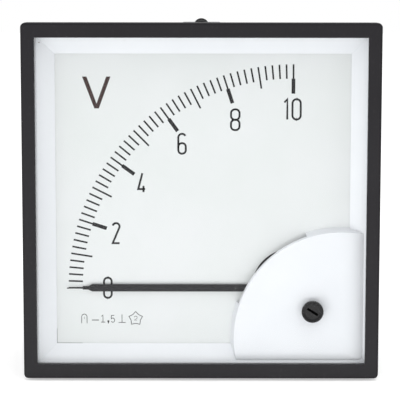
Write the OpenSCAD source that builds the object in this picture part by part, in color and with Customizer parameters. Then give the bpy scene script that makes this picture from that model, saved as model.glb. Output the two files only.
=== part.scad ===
// Analog panel meter, 96 mm square, with a quadrant scale and a 90 degree moving-coil movement.
// Millimetres. +X is right and +Z is up as the dial is read, and +Y points into the panel.
// The origin is the centre of the panel plane, where the back of the bezel seats.

/* [Bezel and window] */
// Outer side of the square bezel
bezel_size = 96; // [95:0.5:100]
// How far the bezel stands proud of the panel
bezel_depth = 5.5; // [5.2:0.1:7]
// Corner radius of the bezel
bezel_corner_r = 1.5; // [1:0.1:3]
// Radius of the bezel's front edges
bezel_edge_r = 0.7; // [0.3:0.1:1]
// Wall of the bezel round the glass
bezel_wall = 1.8; // [1.4:0.1:2]
// Width of the bezel's border at the left and right of the window
border_w = 3.65; // [3.3:0.05:5]
// Width of the bezel's border above and below the window
border_h = 4; // [3.3:0.05:5]
// Thickness of the lip that holds the glass
lip_t = 1.4; // [1:0.1:1.8]
// Thickness of the glass
glass_t = 1.8; // [1.5:0.1:2]

/* [Housing] */
// How far the bezel reaches past the housing on each side
bezel_overlap = 2.7; // [2.2:0.05:3.2]
// Depth of the housing behind the panel
case_depth = 53; // [51:1:70]
// Wall of the housing
case_wall = 1.8; // [1.5:0.1:2.2]
// Corner radius of the housing
case_corner_r = 3; // [2:0.5:5]
// Radius of the housing's rear edges
case_edge_r = 2; // [1:0.5:3]

/* [Scale mask] */
// Width of the mask's slope from the glass down to the dial
mask_run = 4.6; // [4:0.1:5]
// How far the slope starts outside the window, behind the bezel's border
mask_lap = 0.2; // [0.1:0.05:0.4]
// Thickness of the mask, measured level with the dial
mask_t = 1.4; // [1:0.1:1.6]
// Thickness of the mask's flange
mask_flange_t = 1; // [0.8:0.1:1.2]
// How far the mask and the dial sit to the right of the bezel's centre
mask_shift = 0.45; // [0:0.05:0.6]

/* [Dial] */
// Depth of the dial's face behind the front of the bezel
dial_depth = 7; // [6.8:0.1:7.6]
// How far the dial plate reaches under the mask on each side
dial_lap = 1.35; // [0.85:0.05:1.55]
// Thickness of the dial plate
dial_t = 0.8; // [0.6:0.1:1]
// Radius of the round cut-out that the pointer rises through
dial_hole_r = 10.3; // [9.8:0.1:11]
// Radius of the dial screws' thread
dial_screw_r = 1; // [0.8:0.1:1.2]

/* [Scale] */
// Bare dial between the scale's outer end and the left of the mask
scale_margin = 3.3; // [2.8:0.1:8]
// Number of divisions
divisions = 50; // [20:10:60]
// Divisions from one numbered line to the next
major_every = 10; // [5:5:10]
// Divisions from one longer line to the next
mid_every = 5; // [5:5:10]
// Angle of the whole scale
scale_sweep = 90; // [80:1:90]
// How much the divisions open towards full scale, as a share
scale_stretch = 0.056; // [0:0.001:0.1]
// Length of a fine division line
tick_l = 3.85; // [2:0.05:5]
// Length of a line at every fifth division
mid_tick_l = 5.85; // [4:0.05:7]
// Length of the thick part of a numbered line
bold_tick_l = 4.05; // [2:0.05:5]
// Width of a fine line
tick_w = 0.3; // [0.2:0.01:0.4]
// Width of a numbered line's thick part
bold_tick_w = 1; // [0.6:0.05:1.4]
// Thickness of the printed ink
ink_t = 0.03; // [0.02:0.01:0.05]

/* [Movement] */
// Distance of the pivot in from the right edge of the dial that shows
pivot_in_x = 15.9; // [15.7:0.1:16.9]
// Distance of the pivot up from the lower edge of the dial that shows
pivot_in_z = 15.5; // [15.1:0.1:16.1]
// Radius of the core magnet
core_r = 8.5; // [7.5:0.1:8.6]
// Length of the core magnet and of the yoke ring
core_l = 14; // [12:0.5:18]
// Inner radius of the yoke ring
yoke_bore_r = 11.5; // [11.4:0.1:11.8]
// Outer radius of the yoke ring
yoke_r = 16; // [15.6:0.1:16.2]
// Wall of the coil former
former_t = 0.4; // [0.3:0.05:0.5]
// Width of the coil former
former_w = 6.4; // [5:0.1:6.6]
// Depth of the copper winding
winding_t = 0.8; // [0.5:0.1:0.9]
// Gap between the core magnet and the coil former
coil_gap = 0.5; // [0.4:0.05:0.6]
// Radius of the steel pivots
staff_r = 0.35; // [0.25:0.05:0.45]
// Radius of the jewel screws' thread
jewel_screw_r = 1.5; // [1.2:0.1:1.6]
// Thickness of the front bridge
front_bridge_t = 1; // [0.8:0.1:1]
// Thickness of the rear bridge
rear_bridge_t = 1.5; // [1:0.1:2]
// Radius of the bridges' pillars
pillar_r = 1.7; // [1.4:0.1:1.7]
// Outer radius of the hair springs
spring_r = 4.4; // [4:0.1:4.5]
// Width of the hair springs' strip
spring_w = 0.4; // [0.3:0.05:0.45]
// Thickness of the hair springs' strip
spring_t = 0.1; // [0.08:0.01:0.12]
// Number of turns in a hair spring
spring_turns = 4; // [3:1:5]
// Radius of a balance weight
weight_r = 1.35; // [1:0.05:1.4]
// Length of the balance weight behind the pointer
tail_weight_l = 3.65; // [1:0.05:4]
// Length of the two balance weights at the pointer's sides
side_weight_l = 1; // [0.8:0.1:2]

/* [Pointer] */
// How far the pointer reaches past the scale's outer end
pointer_reach = 0.4; // [0:0.1:1]
// Width of the pointer's bar
pointer_w = 2; // [1.6:0.1:2.4]
// Height of the bar's roof-shaped fold
pointer_rise = 0.6; // [0.3:0.05:0.7]
// Thickness of the pointer's sheet
pointer_t = 0.15; // [0.12:0.01:0.2]
// Length of the fine tip
tip_l = 4.3; // [3:0.1:6]
// Width of the fine tip
tip_w = 0.28; // [0.2:0.01:0.4]
// Width of the neck where the tip starts
neck_w = 0.8; // [0.6:0.05:1]
// Length of the tapered neck
neck_l = 1.4; // [1:0.1:2]
// Length of the bevel from the neck to the full bar
bevel_l = 1.2; // [0.8:0.1:2]

/* [Quadrant cover] */
// Radius of the cover's rounded edge
cover_r = 29; // [28.5:0.1:29.2]
// How much further the skirt reaches at the dial
cover_flare = 0.9; // [0.5:0.1:1]
// Wall of the cover
cover_t = 1.1; // [0.9:0.1:1.2]
// Distance of the cover's centre to the right of the pivot
cover_dx = 13.4; // [13:0.1:13.6]
// Distance of the cover's centre below the pivot
cover_drop = 13.3; // [13:0.1:13.5]
// Half the angle of the gap in the skirt, seen from the cover's centre
cover_gap_angle = 26.5; // [25:0.5:28]
// Radius of the roll-off along the cover's right side
cover_side_roll = 18; // [14:1:24]
// Radius of the roll-off along the cover's lower side
cover_base_roll = 6.5; // [5:0.5:8]

/* [Zero adjuster] */
// Radius of the adjuster's head
zero_head_r = 2.95; // [2.8:0.05:3.2]
// Thickness of the adjuster's head
zero_head_t = 0.95; // [0.8:0.05:1.2]
// Radius of the adjuster's shaft
zero_shaft_r = 2.2; // [1.8:0.1:2.3]
// Distance from the pivot to the adjuster, across and down alike
zero_offset = 5.6; // [5.4:0.1:5.8]
// Radius of the eccentric pin
eccentric_r = 0.5; // [0.4:0.05:0.6]
// Offset of the eccentric pin from the adjuster's axis
eccentric_offset = 0.6; // [0.4:0.05:0.7]
// Length of the screwdriver slot
zero_slot_l = 3.4; // [2.4:0.1:4]
// Width of the screwdriver slot
zero_slot_w = 0.65; // [0.5:0.05:0.9]
// Angle of the screwdriver slot
zero_slot_angle = -32; // [-90:1:90]
// Thickness of the zero lever
lever_t = 0.3; // [0.2:0.05:0.3]

/* [Terminals] */
// Radius of the terminal studs
stud_r = 2; // [1.5:0.5:2]
// Distance between the two terminals
stud_pitch = 38; // [30:1:44]
// Height of the terminals above the meter's centre
stud_z = 12; // [8:1:16]
// Length of a stud behind the housing
stud_out = 14; // [13:0.5:18]
// Distance across the flats of the terminal nuts
nut_af = 7; // [6.5:0.5:8]
// Thickness of a terminal nut
nut_t = 3.2; // [2.4:0.1:3.2]
// Depth of the studs' thread
thread_depth = 0.35; // [0.25:0.05:0.4]
// Height of the barrier between the terminals, from the housing's rear
barrier_l = 7; // [4:0.5:10]
// Length of the barrier
barrier_h = 18; // [12:1:22]
// How far the resistor board reaches past each stud
board_margin = 7; // [5.5:0.5:9]
// Height of the resistor board
board_h = 24; // [14:1:30]
// Length of the series resistor's body
resistor_l = 10; // [7:0.5:14]
// Radius of the series resistor's body
resistor_r = 1.3; // [1:0.1:1.8]

/* [Fixing clamps] */
// Width of a clamp bracket
clamp_w = 12.6; // [10:0.1:14]
// Thickness of the bracket's sheet
clamp_t = 1; // [0.8:0.1:1.1]
// Length of a clamp bracket
clamp_l = 25.4; // [20:0.2:32]
// Height of the clamp screws' axes above the housing
clamp_rise = 0.8; // [0.7:0.05:1.1]
// Radius of the clamp screws
clamp_screw_r = 1.5; // [1.2:0.1:1.5]
// Length of a clamp screw under its head
clamp_screw_l = 41.4; // [36:0.2:44]
// Radius of the pressure pads
pad_r = 2.5; // [2.2:0.1:2.6]
// Length of the pressure pads
pad_l = 3.2; // [2.6:0.1:3.4]
// Thickest panel that the clamps leave room for as drawn
panel_room = 3.4; // [3:0.1:3.6]

/* [Hidden] */

$fn = 64;

// Clearances and small standard sizes
slip = 0.1;        // between parts that drop together
run = 0.05;        // round a shaft that turns
over = 1;          // how far a cutter reaches past a face
sink = 0.15;       // gap between the mask's rim and the dial

// Levels along Y, from the front of the bezel into the panel
y_front = -bezel_depth;
y_glass = y_front + lip_t;
y_mask = y_glass + glass_t;
y_seat = y_mask + mask_flange_t;
y_dial = y_front + dial_depth;
y_carrier = y_dial + dial_t;
carrier_t = 2;
y_shoulder = y_carrier + carrier_t;
y_core = y_shoulder + 4.2;
y_core_end = y_core + core_l;
y_rear_wall = case_depth - case_wall;

// Window, mask and dial
window_w = bezel_size - 2 * border_w;
window_h = bezel_size - 2 * border_h;
opening_w = window_w - 2 * (mask_run - mask_lap);
opening_h = window_h - 2 * (mask_run - mask_lap);
dial_size = opening_w + 2 * dial_lap;
case_size = bezel_size - 2 * bezel_overlap;
clamp_axis = case_size / 2 + clamp_rise;

// Pivot and scale
pivot_x = opening_w / 2 + mask_shift - pivot_in_x;
pivot_z = pivot_in_z - opening_h / 2;
scale_r = pivot_x + opening_w / 2 - mask_shift - scale_margin;
pointer_l = scale_r + pointer_reach;

hollow = bezel_size - 2 * bezel_wall;
flange = hollow - 2 * slip;
mask_drop = y_dial - sink - y_mask;
latch_w = 12;
latch_t = 0.5;
case_inner = case_size - 2 * case_wall;

// Clamp channel in the housing's top and bottom
channel_w = clamp_w + 2 * slip + 0.2;
channel_floor = clamp_axis - clamp_screw_r - clamp_t - 0.2;
channel_wall = 1.2;
channel_in = channel_floor - channel_wall;
channel_y = 1.2;
hook_t = clamp_t;
hook_reach = 3.5;
lug_y = panel_room + pad_l + 1;
lug_t = 1.4;
lug_top = clamp_axis + 1.9;
clamp_end = lug_y + clamp_l;

// Carrier posts in the housing's corners
post_r = 3.2;
post_at = case_inner / 2 - post_r - 0.5;
boss_end = y_shoulder + 3;
carrier_size = case_inner - 0.6;
carrier_screw_r = 1.45;
carrier_screw_l = 10;
carrier_head_t = 1.7;
carrier_floor_t = 0.5;

// Sleeve that holds the yoke ring
sleeve_r = yoke_r + 2.2;
shoulder_r = yoke_r - 1;
sleeve_foot = 0.4;

// Coil
former_r = core_r + coil_gap;
coil_end_gap = 0.8;
coil_build = former_t + winding_t;
y_coil = y_core - coil_end_gap - coil_build;
y_coil_end = y_core_end + coil_end_gap + coil_build;
winding_w = former_w - 0.8;

// Front chain on the pivot's axis
y_bridge = y_dial - 0.4;
y_bridge_end = y_bridge + front_bridge_t;
y_lever = y_bridge - run - lever_t;
lock_nut_t = 0.6;
y_lock_nut = y_lever - run - lock_nut_t;
y_jewel_screw = y_lock_nut - 0.4;
y_jewel_end = y_bridge_end + 1;
cup_depth = 0.6;
pivot_play = 0.03;
y_tip = y_jewel_end - cup_depth + pivot_play;
collet_r = 0.9;
y_collet = y_jewel_end + 0.3;
collet_l = 0.6;
y_eye = y_collet + collet_l + 0.4;
y_cross = y_eye + pointer_t;
cross_t = 0.4;
bush_r = 1.6;
tail_l = 10.3;
side_l = 8.6;
arm_w = 0.6;

// Rear chain on the pivot's axis
y_rear_bush_end = y_coil_end + 0.7;
y_rear_collet = y_rear_bush_end + 0.5;
y_rear_tip = y_rear_collet + collet_l + 1.45;
y_rear_jewel = y_rear_tip - cup_depth + pivot_play;
y_rear_bridge = y_rear_jewel + 1.1;
y_rear_bridge_end = y_rear_bridge + rear_bridge_t;
y_rear_nut_end = y_rear_bridge_end + lock_nut_t;
y_rear_screw_end = y_rear_nut_end + 0.9;
jewel_r = 0.8;
jewel_l = 0.9;
cup_r = 0.55;

// Bridges
bridge_at = 13.2;
bridge_half_angle = 15;
bridge_angle = -45;
bridge_screw_r = 0.8;
bridge_head_r = 1.5;
bridge_screw_l = 3;
lead_gap_angle = 22;
bridge_hub_r = jewel_screw_r + 2;
bridge_foot_r = pillar_r + 0.4;
lug_w = 1.8;
lug_in = spring_r + 0.3;
spring_inner_r = collet_r + 0.15;
lever_lug_w = 1.2;
spring_lug_angle = 225;

// Stops beside the tail of the balance cross, clear of the whole swing and of the zero lever's
stop_angles = [11, -scale_sweep - 12.5];

// Pointer
y_ridge = y_dial - 0.75 - pointer_t - pointer_rise;
crank_r = 8.5;
bar_end = pointer_l - tip_l - neck_l - bevel_l;

// Zero adjuster
zero_x = pivot_x + zero_offset;
zero_z = pivot_z - zero_offset;
zero_reach = zero_offset * sqrt(2);
y_cover = y_mask + slip;
y_cover_in = y_cover + cover_t;
clip_r = zero_head_r + 0.25;
groove_r = zero_shaft_r - 0.4;
clip_t = 0.3;
y_clip = y_cover_in + run;
y_shaft_end = y_clip + clip_t + 0.2;
fork_gap = 0.1;

// Quadrant cover
cover_x = pivot_x + cover_dx;
cover_z = pivot_z - cover_drop;
cover_right = opening_w / 2 + mask_run + mask_shift - 0.95;
cover_drop_edge = opening_h / 2 + mask_run - 0.55;
cover_gap_dir = 135;
roll_w = 5;
roll_h = 2.25;

// Dial screws, on the two strips of dial that the cover hides
dial_notch = 3;
dial_screw_head_r = 1.9 * dial_screw_r;
dial_screw_head_t = 1.1;
dial_slot_w = 0.5;
dial_screw_l = carrier_t + dial_t + 2;
dial_slot_angle = 40;
dial_screw_at = [
    [cover_x - cover_r + cover_t + dial_screw_head_r + 1.7, cover_z + 1.3],
    [cover_x - 1.6, cover_z + cover_r - cover_t - dial_screw_head_r - 0.8]
];

// Terminals
stud_at_x = stud_pitch / 2;
washer_t = 0.8;
washer_r = 4.5;
stud_flange_t = 3;
stud_flange_r = nut_af / sqrt(3) + 0.5;
stud_root_r = stud_r - thread_depth;
stud_lead = 0.5;
y_stud_flange = y_rear_wall - stud_flange_t;
board_t = 1.6;
y_board = y_stud_flange - board_t;
board_w = stud_pitch + 2 * board_margin;
y_nut_a = case_depth + washer_t;
y_washer_b = y_nut_a + nut_t;
y_spring_washer = y_washer_b + washer_t;
spring_washer_t = 1.1;
y_nut_b = y_spring_washer + spring_washer_t;
collar_t = 2;
barrier_t = 1.6;
resistor_cap_r = resistor_r + 0.4;
resistor_cap_l = 0.18 * resistor_l;
resistor_wire_r = 0.35;
resistor_wire_at = resistor_l / 2 + 3;

// Lead wires, from the resistor board to the two bridges
wire_r = 0.5;
wire_sides = 8;
lead_at = yoke_r + 0.9;
lead_angle = bridge_angle;
lead_x = pivot_x + lead_at * cos(lead_angle);
lead_z = pivot_z + lead_at * sin(lead_angle);
rear_lead_x = pivot_x - 6;
rear_lead_z = pivot_z - 6;
y_bend = y_rear_screw_end + 4;
front_lead = [
    [22, y_board, 4], [22, y_board - 2, 4], [22.5, y_board - 4, 3], [25, y_board - 6, -1],
    [30, y_board - 8, -10], [34, y_bend + 2, -20], [lead_x - 1.4, y_bend, lead_z + 4],
    [lead_x - 0.3, y_bend - 2, lead_z + 1], [lead_x, y_bend - 4.5, lead_z],
    [lead_x, y_core_end, lead_z], [lead_x, y_bridge_end, lead_z]
];
rear_lead = [
    [14, y_board, 4], [14, y_board - 2, 4], [13.8, y_board - 4, 3], [13.5, y_board - 6, -1],
    [14, y_bend + 3, -12], [16.5, y_bend + 1, -24], [rear_lead_x - 0.3, y_bend - 0.5, rear_lead_z + 1.4],
    [rear_lead_x, y_bend - 2, rear_lead_z], [rear_lead_x, y_rear_bridge_end, rear_lead_z]
];

// ---------- shared shapes ----------

// A flat outline drawn as seen from the front, made solid between two depths
module along_y(y0, y1) {
    translate([0, y1, 0]) rotate([90, 0, 0]) linear_extrude(height = y1 - y0) children();
}

// An outline in depth and height, run across from x0 to x1
module along_x(x0, x1) {
    translate([x0, 0, 0]) rotate([90, 0, 90]) linear_extrude(height = x1 - x0) children();
}

module disc(r, y0, y1, x = 0, z = 0) {
    translate([x, y1, z]) rotate([90, 0, 0]) cylinder(r = r, h = y1 - y0);
}

// A cone whose radius runs from r0 at y0 to r1 at y1
module taper(r0, r1, y0, y1, x = 0, z = 0) {
    translate([x, y1, z]) rotate([90, 0, 0]) cylinder(r1 = r1, r2 = r0, h = y1 - y0);
}

module block(x0, x1, y0, y1, z0, z1) {
    translate([x0, y0, z0]) cube([x1 - x0, y1 - y0, z1 - z0]);
}

module square_slab(w, y0, y1) {
    block(-w / 2, w / 2, y0, y1, -w / 2, w / 2);
}

// A square slab with rounded corners
module rounded_slab(w, r, y0, y1) {
    block(-w / 2 + r, w / 2 - r, y0, y1, -w / 2, w / 2);
    block(-w / 2, w / 2, y0, y1, -w / 2 + r, w / 2 - r);
    for (x = [-1, 1], z = [-1, 1]) disc(r, y0, y1, x * (w / 2 - r), z * (w / 2 - r));
}

// Section of a slab whose two edges at depth y0 are rounded, the other end square at y1
module edge_profile(w, r, y0, y1) {
    side = y1 > y0 ? 1 : -1;
    translate([min(y0 + side * r, y1), -w / 2]) square([abs(y1 - y0) - r, w]);
    translate([min(y0, y1), -w / 2 + r]) square([abs(y1 - y0), w - 2 * r]);
    for (z = [-1, 1]) translate([y0 + side * r, z * (w / 2 - r)]) circle(r = r);
}

// A square slab with rounded corners and with its edges at depth y0 rounded too
module soft_slab(w, corner_r, edge_r, y0, y1) {
    intersection() {
        rounded_slab(w, corner_r, min(y0, y1), max(y0, y1));
        along_x(-w, w) edge_profile(w, edge_r, y0, y1);
        rotate([0, 90, 0]) along_x(-w, w) edge_profile(w, edge_r, y0, y1);
    }
}

// Everything that belongs on the pivot's axis
module at_pivot() {
    translate([pivot_x, 0, pivot_z]) children();
}

// Turns a shape drawn along +X to an angle, counted from the right towards the top
module to_angle(a) {
    rotate([0, -a, 0]) children();
}

// A wedge with its point on the axis, centred on angle a
module sector(r, half, a, y0, y1) {
    to_angle(a) along_y(y0, y1)
        polygon([[0, 0], for (t = [-half : half / 3 : half + 0.01]) r * [cos(t), sin(t)]]);
}

// Both ends of the meter, top and bottom alike
module top_and_bottom() {
    children();
    mirror([0, 0, 1]) children();
}

// ---------- front ----------

module bezel() {
    color([0.16, 0.155, 0.165])
    difference() {
        soft_slab(bezel_size, bezel_corner_r, bezel_edge_r, y_front, 0);
        square_slab(hollow, y_glass, over);
        block(-window_w / 2, window_w / 2, y_front - over, over, -window_h / 2, window_h / 2);
        // pockets that the housing's latches snap into
        for (a = [0 : 90 : 270]) to_angle(a)
            block(0, hollow / 2 + latch_t + slip, y_seat + 0.1, -0.35,
                  -latch_w / 2 - 0.2, latch_w / 2 + 0.2);
    }
}

module front_glass() {
    color([0.85, 0.9, 0.92, 0.25])
    difference() {
        square_slab(flange, y_glass, y_mask);
        disc(zero_shaft_r + run, y_glass - over, y_mask + over, zero_x, zero_z);
    }
}

// The mask's sloping inside as a solid, grown sideways by g
module mask_hollow(g, y0, y1) {
    slope = mask_run / mask_drop;
    hw = opening_w / 2 + mask_run + g;
    hh = opening_h / 2 + mask_run + g;
    intersection() {
        translate([mask_shift, 0, -bezel_size]) linear_extrude(height = 2 * bezel_size)
            polygon([[-hw + (y0 - y_mask) * slope, y0], [hw - (y0 - y_mask) * slope, y0],
                     [hw - (y1 - y_mask) * slope, y1], [-hw + (y1 - y_mask) * slope, y1]]);
        along_x(-bezel_size, bezel_size)
            polygon([[y0, -hh + (y0 - y_mask) * slope], [y0, hh - (y0 - y_mask) * slope],
                     [y1, hh - (y1 - y_mask) * slope], [y1, -hh + (y1 - y_mask) * slope]]);
    }
}

module scale_mask() {
    color([0.9, 0.91, 0.93])
    difference() {
        union() {
            square_slab(flange, y_mask, y_seat);
            intersection() {
                mask_hollow(mask_t, y_mask, y_dial - sink);
                square_slab(flange, y_mask, y_dial);
            }
        }
        mask_hollow(0, y_mask - over, y_dial + over);
    }
}

// A slab that is flat on top up to `flat`, then rolls off towards its edge on the +X side
module roll_slab(edge, flat, roll, y_top, y_end) {
    translate([0, 0, -bezel_size]) linear_extrude(height = 2 * bezel_size) union() {
        translate([-bezel_size, y_top]) square([bezel_size + flat, y_end - y_top]);
        intersection() {
            translate([0, y_top]) square([edge, y_end - y_top]);
            translate([flat, y_top + roll]) circle(r = roll, $fn = 96);
        }
    }
}

function cover_radius(y) = cover_r + cover_flare * (y - y_cover) / (y_dial - y_cover);

// The cover's outside, shrunk by s, from depth y_top to y_end
module cover_body(s, y_top, y_end) {
    intersection() {
        taper(cover_radius(y_top) - s, cover_radius(y_end) - s, y_top, y_end, cover_x, cover_z);
        roll_slab(cover_right - s, cover_right - roll_w, cover_side_roll - s, y_top, y_end);
        rotate([0, 90, 0])
            roll_slab(cover_drop_edge - s, cover_drop_edge - roll_h, cover_base_roll - s, y_top, y_end);
        mask_hollow(-slip - s, y_top, y_end);
    }
}

module quadrant_cover() {
    color([0.91, 0.92, 0.94])
    difference() {
        cover_body(0, y_cover, y_dial);
        cover_body(cover_t, y_cover_in, y_dial + over);
        // the open stretch of skirt that the pointer swings through
        translate([cover_x, 0, cover_z])
            sector(1.2 * cover_r, cover_gap_angle, cover_gap_dir, y_cover_in, y_dial + over);
        disc(zero_shaft_r + run, y_cover - over, y_cover_in + over, zero_x, zero_z);
    }
}

module dial_plate() {
    color([0.86, 0.87, 0.86])
    difference() {
        translate([mask_shift, 0, 0]) square_slab(dial_size, y_dial, y_carrier);
        at_pivot() disc(dial_hole_r, y_dial - over, y_carrier + over);
        // the open corner lets the plate slide out past the pointer
        block(pivot_x - dial_notch, bezel_size, y_dial - over, y_carrier + over,
              -bezel_size, pivot_z + dial_notch);
        for (p = dial_screw_at)
            disc(dial_screw_r + slip, y_dial - over, y_carrier + over, p[0], p[1]);
    }
}

// Angle of division i, counted from the left towards the top
function tick_angle(i) =
    let (u = i / divisions) scale_sweep * u * (1 + scale_stretch * (u - 1));

// A line of the scale, from radius r0 out to radius r1
module scale_line(i, r0, r1, w) {
    to_angle(180 - tick_angle(i)) block(r0, r1, y_dial - ink_t, y_dial, -w / 2, w / 2);
}

module scale_marks() {
    color([0.1, 0.1, 0.11])
    at_pivot() for (i = [0 : divisions]) {
        major = i % major_every == 0;
        mid = i % mid_every == 0 && !major;
        scale_line(i, scale_r - (mid ? mid_tick_l : tick_l), scale_r, tick_w);
        if (major)
            scale_line(i, scale_r - tick_l - bold_tick_l, scale_r - tick_l, bold_tick_w);
    }
}

module dial_screws() {
    color([0.75, 0.75, 0.73])
    for (p = dial_screw_at) difference() {
        union() {
            disc(dial_screw_head_r, y_dial - dial_screw_head_t, y_dial, p[0], p[1]);
            disc(dial_screw_r, y_dial, y_dial + dial_screw_l, p[0], p[1]);
        }
        translate([p[0], 0, p[1]]) to_angle(dial_slot_angle)
            block(-2 * dial_screw_head_r, 2 * dial_screw_head_r, y_dial - dial_screw_head_t - over,
                  y_dial - dial_screw_head_t / 2, -dial_slot_w / 2, dial_slot_w / 2);
    }
}

// ---------- zero adjuster ----------

// The eccentric pin points straight away from the pivot when the pointer stands on zero
module zero_screw() {
    pin_x = zero_x + eccentric_offset * cos(bridge_angle);
    pin_z = zero_z + eccentric_offset * sin(bridge_angle);
    color([0.13, 0.13, 0.14])
    difference() {
        union() {
            disc(zero_head_r, y_glass - zero_head_t, y_glass, zero_x, zero_z);
            disc(zero_shaft_r, y_glass, y_clip, zero_x, zero_z);
            disc(groove_r, y_clip, y_clip + clip_t, zero_x, zero_z);
            disc(zero_shaft_r - 0.2, y_clip + clip_t, y_shaft_end, zero_x, zero_z);
            disc(eccentric_r, y_shaft_end, y_bridge - 0.15, pin_x, pin_z);
        }
        // shallow dish in the head, and the slot across it
        taper(zero_head_r - 0.3, zero_head_r - 0.9, y_glass - zero_head_t - 0.01,
              y_glass - zero_head_t + 0.3, zero_x, zero_z);
        translate([zero_x, 0, zero_z]) to_angle(zero_slot_angle)
            block(-zero_slot_l / 2, zero_slot_l / 2, y_glass - zero_head_t - over,
                  y_glass - zero_head_t + 0.9, -zero_slot_w / 2, zero_slot_w / 2);
    }
}

module zero_screw_clip() {
    color([0.6, 0.61, 0.63])
    difference() {
        disc(clip_r, y_clip, y_clip + clip_t, zero_x, zero_z);
        disc(groove_r, y_clip - over, y_clip + clip_t + over, zero_x, zero_z);
    }
}

module zero_lever() {
    fork_r = zero_reach + eccentric_offset + eccentric_r + 0.9;
    slot_r = zero_reach - eccentric_offset - eccentric_r - 0.4;
    slot_w = 2 * (eccentric_r + fork_gap);
    color([0.8, 0.66, 0.36])
    at_pivot() {
        difference() {
            union() {
                disc(jewel_screw_r + 1.3, y_lever, y_lever + lever_t);
                to_angle(bridge_angle)
                    block(0, fork_r, y_lever, y_lever + lever_t, -slot_w / 2 - 0.9, slot_w / 2 + 0.9);
                to_angle(spring_lug_angle)
                    block(0, lug_in + lever_t, y_lever, y_lever + lever_t,
                          -lever_lug_w / 2, lever_lug_w / 2);
                // lug bent back past the bridge, which carries the spring's outer end
                to_angle(spring_lug_angle)
                    block(lug_in, lug_in + lever_t, y_lever, y_collet + 0.55,
                          -lever_lug_w / 2, lever_lug_w / 2);
            }
            disc(jewel_screw_r + run, y_lever - over, y_lever + lever_t + over);
            to_angle(bridge_angle)
                block(slot_r, fork_r + over, y_lever - over, y_lever + lever_t + over,
                      -slot_w / 2, slot_w / 2);
        }
    }
}

// ---------- movement, front bearing ----------

// Runs its children at both screws of a bridge end
module bridge_ends(a) {
    for (s = [-1, 1]) {
        t = a + s * bridge_half_angle;
        translate([bridge_at * cos(t), 0, bridge_at * sin(t)]) children();
    }
}

module front_bridge() {
    tip = bridge_at * [cos(bridge_half_angle), sin(bridge_half_angle)];
    color([0.78, 0.78, 0.76])
    at_pivot() difference() {
        to_angle(bridge_angle) along_y(y_bridge, y_bridge_end) {
            circle(r = bridge_hub_r);
            for (s = [-1, 1]) translate([tip[0], s * tip[1]]) circle(r = bridge_foot_r);
            polygon([[0, -bridge_hub_r + 0.2], [tip[0], -tip[1] - pillar_r],
                     [tip[0] + pillar_r, -tip[1]], [tip[0] + pillar_r, tip[1]],
                     [tip[0], tip[1] + pillar_r], [0, bridge_hub_r - 0.2]]);
            // solder lug for the lead
            translate([bridge_at, -lug_w / 2]) square([lead_at + lug_w / 2 - bridge_at, lug_w]);
        }
        disc(jewel_screw_r + 0.01, y_bridge - over, y_bridge_end + over);
        bridge_ends(bridge_angle)
            disc(bridge_screw_r + slip, y_bridge - over, y_bridge_end + over);
        to_angle(lead_angle)
            disc(wire_r - 0.2, y_bridge - over, y_bridge_end + over, lead_at, 0);
    }
}

module front_bridge_pillars() {
    color([0.76, 0.62, 0.34])
    at_pivot() bridge_ends(bridge_angle) difference() {
        disc(pillar_r, y_bridge_end, y_core);
        disc(bridge_screw_r, y_bridge_end - over, y_bridge_end + bridge_screw_l + 0.2);
    }
}

module cheese_screw(head_r, shank_r, y_head, head_t, shank_l, slot_w) {
    difference() {
        union() {
            disc(head_r, y_head, y_head + head_t);
            disc(shank_r, y_head + head_t, y_head + head_t + shank_l);
        }
        block(-head_r - over, head_r + over, y_head - over, y_head + head_t / 2,
              -slot_w / 2, slot_w / 2);
    }
}

module front_bridge_screws() {
    color([0.75, 0.75, 0.73])
    at_pivot() bridge_ends(bridge_angle)
        cheese_screw(bridge_head_r, bridge_screw_r - 0.02, y_bridge - 1, 1,
                     front_bridge_t + bridge_screw_l, 0.4);
}

// Hexagonal lock nut on the jewel screw, from y0 to y0 + lock_nut_t
module lock_nut(y0) {
    difference() {
        translate([0, y0 + lock_nut_t, 0]) rotate([90, 0, 0])
            cylinder(r = jewel_screw_r + 1.2, h = lock_nut_t, $fn = 6);
        disc(jewel_screw_r + 0.02, y0 - over, y0 + lock_nut_t + over);
    }
}

// Screw on the pivot's axis with a screwdriver slot at y_slot and a jewel pocket at y_cup
module jewel_screw(y_slot, y_cup) {
    way = y_cup > y_slot ? 1 : -1;
    difference() {
        disc(jewel_screw_r, min(y_slot, y_cup), max(y_slot, y_cup));
        block(-over - jewel_screw_r, over + jewel_screw_r,
              min(y_slot - way, y_slot + way * 0.6), max(y_slot - way, y_slot + way * 0.6),
              -0.25, 0.25);
        disc(jewel_r, min(y_cup + way, y_cup - way * jewel_l), max(y_cup + way, y_cup - way * jewel_l));
    }
}

module front_jewel_screw() {
    color([0.78, 0.64, 0.35])
    at_pivot() jewel_screw(y_jewel_screw, y_jewel_end);
}

module front_lock_nut() {
    color([0.78, 0.64, 0.35])
    at_pivot() lock_nut(y_lock_nut);
}

// Jewel with a conical cup that opens at y_cup; way is the side it opens towards
module jewel(y_cup, way) {
    y_back = y_cup - way * jewel_l;
    y_deep = y_cup - way * cup_depth;
    difference() {
        disc(jewel_r, min(y_cup, y_back), max(y_cup, y_back));
        if (way > 0) taper(0.12, cup_r, y_deep, y_cup + 0.01);
        else taper(cup_r, 0.12, y_cup - 0.01, y_deep);
    }
}

module jewels() {
    color([0.75, 0.2, 0.35])
    at_pivot() {
        jewel(y_jewel_end, 1);
        jewel(y_rear_jewel, -1);
    }
}

// Flat spiral strip from radius r0 out to r1, ending at angle a
function spiral_point(k, n, r0, r1, a, side) =
    let (u = k / n, r = r0 + (r1 - r0) * u + side * spring_t / 2, t = a - 360 * spring_turns * (1 - u))
    r * [cos(t), sin(t)];

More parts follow.
